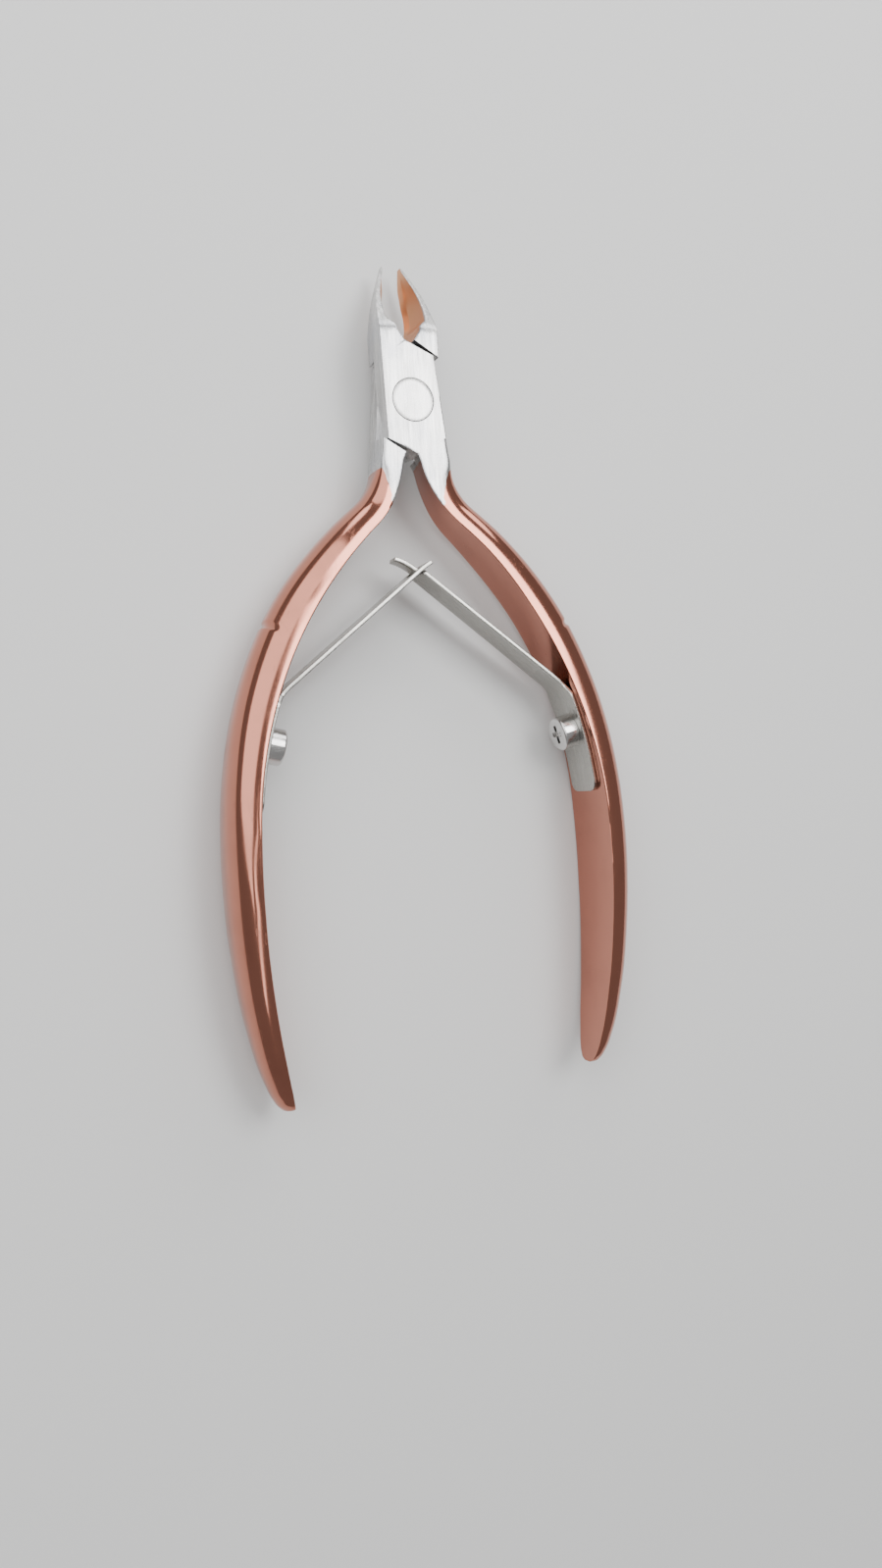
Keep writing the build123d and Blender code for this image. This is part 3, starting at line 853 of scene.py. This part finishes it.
def rivet_seam(tree, coords):
    """Mask of the thin dark seam around the flush rivet: a ring about the pivot."""
    flat = add(tree, "ShaderNodeMapping", vector_type="POINT", Vector=coords,
               Location=(-PIVOT[0], -PIVOT[1], 0), Scale=(1, 1, 0))
    span = add(tree, "ShaderNodeVectorMath", operation="LENGTH")
    tree.links.new(flat.outputs[0], span.inputs[0])
    off = math_of(tree, "SUBTRACT", span.outputs["Value"], SEAM_RADIUS)
    return map_range(tree, math_of(tree, "ABSOLUTE", off, 0.0), *SEAM_WIDTH, 1.0, 0.0)


def plated_steel(finishes):
    """Satin steel head and polished rose plating behind it. The plating's edge is a wavy line
    across the root of the handle; grinding marks show in the steel, smudges in the plating,
    and bluish-grey patches on the steel, placed by the smudge noise, are painted reflection.
    The plating in the hollows of the jaws is browner and duller."""
    material, tree, shader, coords = new_material("plated_steel")
    link = tree.links.new
    grind = use_group(tree, grinding_group(), coords)
    marks = use_group(tree, handling_group(), coords)
    smudge, scuff = marks.outputs["Smudge"], marks.outputs["Scuff"]
    cover = add(tree, "ShaderNodeAttribute", attribute_name="plated")
    wave = noise_of(tree, coords, 520.0, Detail=2.0)
    wander = map_range(tree, wave, 0.3, 0.7, -0.25, 0.25)
    edge = math_of(tree, "ADD", cover.outputs["Fac"], wander)
    plated = map_range(tree, edge, 0.38, 0.62, 0.0, 1.0)
    apart = add(tree, "ShaderNodeSeparateXYZ", Vector=coords)
    in_jaws = map_range(tree, apart.outputs["Y"], PIVOT[1] + 0.005, PIVOT[1] + 0.006, 0.0, 1.0)

    steel = np.array(finishes.steel)
    streak = map_range(tree, grind.outputs["Coarse"], 0.3, 0.7, 0.0, 1.0)
    streaked = blend_of(tree, streak, steel * 0.62, steel * 1.08)
    # painted reflection: the steel turns bluish grey where the smudge noise is high
    steel_with_painted_reflection = blend_of(tree, math_of(tree, "MULTIPLY", smudge, 0.75), streaked,
                       steel * PAINTED_REFLECTION_GREY)
    rose = np.array(finishes.plating)
    smudged = blend_of(tree, smudge, rose, rose * 0.9)
    plating = blend_of(tree, in_jaws, smudged, finishes.hollow)
    surface = blend_of(tree, plated, steel_with_painted_reflection, plating)
    ringed = blend_of(tree, rivet_seam(tree, coords), surface, SEAM_COLOUR)
    link(ringed, shader.inputs["Base Color"])

    satin = map_range(tree, grind.outputs["Value"], 0.25, 0.75, finishes.satin - 0.07,
                      finishes.satin + 0.09)
    gloss = map_range(tree, smudge, 0.0, 1.0, finishes.gloss, finishes.gloss + 0.07)
    gloss = math_of(tree, "ADD", gloss, math_of(tree, "MULTIPLY", scuff, 0.3))
    gloss = math_of(tree, "ADD", gloss, math_of(tree, "MULTIPLY", in_jaws, 0.27))
    rough = add(tree, "ShaderNodeMix", data_type="FLOAT")
    link(plated, rough.inputs[0])
    link(satin, rough.inputs[2])
    link(gloss, rough.inputs[3])
    link(rough.outputs[0], shader.inputs["Roughness"])
    bare = math_of(tree, "SUBTRACT", 1.0, plated)
    lines = math_of(tree, "MULTIPLY", grind.outputs["Value"], bare)
    scratches = math_of(tree, "MULTIPLY", scuff, -0.4)
    bump_of(tree, shader, math_of(tree, "ADD", lines, scratches), 0.35)
    return material


def satin_steel(name, colour, rough, stretch, fineness=1500.0):
    """Steel with grinding marks in its colour, polish and relief, and light smudges."""
    material, tree, shader, coords = new_material(name)
    link = tree.links.new
    grind = use_group(tree, grinding_group(), coords, Stretch=stretch, Fineness=fineness)
    marks = use_group(tree, handling_group(), coords, Scale=240.0)
    colour = np.array(colour)
    tone = blend_of(tree, grind.outputs["Coarse"], colour * 0.84, colour * 1.08)
    link(tone, shader.inputs["Base Color"])
    polish = map_range(tree, grind.outputs["Value"], 0.25, 0.75, rough - 0.06, rough + 0.08)
    smudge = math_of(tree, "MULTIPLY", marks.outputs["Smudge"], 0.08)
    link(math_of(tree, "ADD", polish, smudge), shader.inputs["Roughness"])
    bump_of(tree, shader, grind.outputs["Value"], 0.3)
    return material


def table_paper(finishes):
    """Pale matt table top with a faint grain."""
    material, tree, shader, coords = new_material("pale_table", 0.0)
    grain = noise_of(tree, coords, 900.0, Detail=4.0)
    colour = np.array(finishes.floor)
    tree.links.new(blend_of(tree, grain, colour * 0.985, colour), shader.inputs["Base Color"])
    shader.inputs["Roughness"].default_value = 0.6
    return material


# ---- operators ----
CAMERA_FROM_PIVOT = (-0.050705, -0.04505, 0.1326)     # metres
CAMERA_TURN = (1.1945, -21.4874, -3.86)               # degrees
TABLE_REACH = 1.2                                     # metres, from the middle to each side


class NIPPER_OT_halves(bpy.types.Operator):
    """Build both forged halves: jaw, lap plate and plated handle"""

    bl_idname = "nipper.halves"
    bl_label = "Forged halves"

    def execute(self, context):
        sizes = context.scene.nipper_sizes
        material = plated_steel(context.scene.nipper_finishes)
        for name, plate_up, body in (("front_forging", True, "front_body"),
                                     ("back_forging", False, "back_body")):
            piece = forged_half(name, sizes, plate_up, material)
            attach(piece, body)
            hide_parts(name.replace("forging", "half"))
        return {"FINISHED"}


class NIPPER_OT_rivet(bpy.types.Operator):
    """Build the flush rivet that the halves turn on"""

    bl_idname = "nipper.rivet"
    bl_label = "Rivet"

    def execute(self, context):
        sizes = context.scene.nipper_sizes
        colour = context.scene.nipper_finishes.steel
        material = satin_steel("rivet_steel", colour, 0.26, (9, 0.4, 9))
        vertices, faces = tube(place(revolve(rivet_profile(sizes), 96), 0.0))
        piece = make_mesh("rivet", vertices, faces, material, 40)
        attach(piece, "back_body")
        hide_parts("pivot_rivet")
        return {"FINISHED"}


class NIPPER_OT_springs(bpy.types.Operator):
    """Build the two leaf springs, one with a slot and one with the tongue that passes it"""

    bl_idname = "nipper.springs"
    bl_label = "Leaf springs"

    def execute(self, context):
        sizes = context.scene.nipper_sizes
        finishes = context.scene.nipper_finishes
        material = satin_steel("spring_strip", finishes.spring, 0.24, (0.6, 0.6, 14), 900.0)
        foot, arm, end = (w / MM / 2 for w in (sizes.foot_width, sizes.arm_width,
                                               sizes.tip_width))
        tongue = sizes.tongue_width / MM / 2
        slot = tongue + 0.2

        def widths(at, cross_at):
            """Half width along a strip: rounded foot corners, a taper to the crossing."""
            rounded = foot - FOOT_CORNER + np.sqrt(np.clip(
                FOOT_CORNER ** 2 - (FOOT_CORNER - np.minimum(at, FOOT_CORNER)) ** 2, 0, None))
            neck = arm + (foot - arm) * (1 - ease((at - BEND_AT + 1.2) / 1.6))
            taper = arm + (end - arm) * np.clip((at - BEND_AT) / (cross_at - BEND_AT), 0, 1)
            return np.minimum(np.where(at < BEND_AT, np.minimum(rounded, neck), taper), foot)

        across = np.array([-1, -0.9, -slot / end, -tongue / end, -0.2, 0.2, tongue / end,
                           slot / end, 0.9, 1])
        shoulder = -0.45
        slot_from, slot_to = -1.4, 1.2
        right = strip(
            "right_spring", sizes, TONGUE_TIP, widths, across, [shoulder],
            lambda u, z: (u < shoulder) | (np.abs(z) < tongue + 0.02), 1, material)
        left = strip(
            "left_spring", sizes, SLOT_TIP, widths, across, [slot_from, slot_to],
            lambda u, z: (u < slot_from) | (u > slot_to) | (np.abs(z) > slot - 0.02), -1,
            material)
        for (piece, corner), side, parent in ((right, 1, "front"), (left, -1, "back")):
            hand = "right" if side > 0 else "left"
            nodes = (f"{hand}_spring_foot", f"{hand}_spring_arm")
            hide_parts(*nodes)
            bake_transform(piece)
        return {"FINISHED"}


class NIPPER_OT_screws(bpy.types.Operator):
    """Finish the two cheese-head screws that hold the springs"""

    bl_idname = "nipper.screws"
    bl_label = "Spring screws"

    def execute(self, context):
        finishes = context.scene.nipper_finishes
        material = satin_steel("turned_screw_steel", finishes.screw, 0.2, (1, 6, 6), 1100.0)
        for name in ("left_spring_screw", "right_spring_screw"):
            data = frame["nodes"][name].data
            data.materials.clear()
            data.materials.append(material)
        return {"FINISHED"}


class NIPPER_OT_stage(bpy.types.Operator):
    """Set the table, the soft light and the camera"""

    bl_idname = "nipper.stage"
    bl_label = "Stage"

    def execute(self, context):
        scene = context.scene
        stage = scene.nipper_stage
        mesh = bpy.data.meshes.new("table_top")
        corners = [(x * TABLE_REACH, y * TABLE_REACH, 0)
                   for x, y in ((-1, -1), (1, -1), (1, 1), (-1, 1))]
        mesh.from_pydata(corners, [], [(0, 1, 2, 3)])
        mesh.materials.append(table_paper(scene.nipper_finishes))
        table = put("table_top", mesh)

        world = bpy.data.worlds.new("room")
        world.use_nodes = True
        background = world.node_tree.nodes["Background"]
        background.inputs["Color"].default_value = (1, 1, 1, 1)
        background.inputs["Strength"].default_value = stage.sky
        scene.world = world

        panels = (
            ("key_panel", (0.165, 0.15, 0.42), (0, 0, 0), (0.26, 0.22), stage.key),
            ("left_panel", (-0.22, 0.17, 0.36), (-0.01, 0, 0), (0.5, 0.42), stage.fill),
            ("rear_panel", (0.12, 0.42, 0.19), (0, 0.04, 0), (0.5, 0.2), stage.rim),
            ("top_strip", (-0.075, -0.1, 0.44), (0, -0.02, 0), (0.05, 0.32), stage.strip),
        )
        for name, spot, aim, (wide, tall), power in panels:
            light = bpy.data.lights.new(name, "AREA")
            light.shape = "RECTANGLE"
            light.size, light.size_y = wide, tall
            light.energy = power
            lamp = put(name, light)
            lamp.location = spot
            away = np.array(spot) - np.array(aim)
            flat = math.hypot(away[0], away[1])
            lamp.rotation_euler = (math.atan2(flat, away[2]), 0,
                                   math.atan2(away[0], -away[1]))

        data = bpy.data.cameras.new("front_camera")
        data.sensor_width = 36.0
        data.sensor_fit = "AUTO"
        data.lens = stage.lens
        data.clip_start = 0.005
        camera = put("front_camera", data)
        camera.location = [at + off for at, off in zip(PIVOT, CAMERA_FROM_PIVOT)]
        camera.rotation_euler = [math.radians(a) for a in CAMERA_TURN]
        scene.camera = camera
        return {"FINISHED"}


class NIPPER_PT_panel(bpy.types.Panel):
    """Sidebar list of the nipper's pieces and settings"""

    bl_label = "Cuticle nipper"
    bl_idname = "NIPPER_PT_panel"
    bl_space_type = "VIEW_3D"
    bl_region_type = "UI"
    bl_category = "Nipper"

    def draw(self, context):
        for operator in OPERATORS:
            self.layout.operator(operator.bl_idname)
        for name, kind in SETTINGS.items():
            box = self.layout.box()
            for key in kind.__annotations__:
                box.prop(getattr(context.scene, name), key)


OPERATORS = (NIPPER_OT_halves, NIPPER_OT_rivet, NIPPER_OT_springs, NIPPER_OT_screws,
             NIPPER_OT_stage)
SETTINGS = {"nipper_sizes": NipperSizes, "nipper_finishes": NipperFinishes,
            "nipper_stage": NipperStage}
CLASSES = (*SETTINGS.values(), *OPERATORS, NIPPER_PT_panel)


def register():
    """Register the settings, the operators and the panel."""
    for kind in CLASSES:
        bpy.utils.register_class(kind)
    for name, kind in SETTINGS.items():
        setattr(bpy.types.Scene, name, bpy.props.PointerProperty(type=kind))


def unregister():
    """Remove what register() added."""
    for name in SETTINGS:
        delattr(bpy.types.Scene, name)
    for kind in reversed(CLASSES):
        bpy.utils.unregister_class(kind)


def main():
    """Build everything in order."""
    register()
    bpy.ops.nipper.halves()
    bpy.ops.nipper.rivet()
    bpy.ops.nipper.springs()
    bpy.ops.nipper.screws()
    bpy.ops.nipper.stage()


if __name__ == "__main__":
    main()
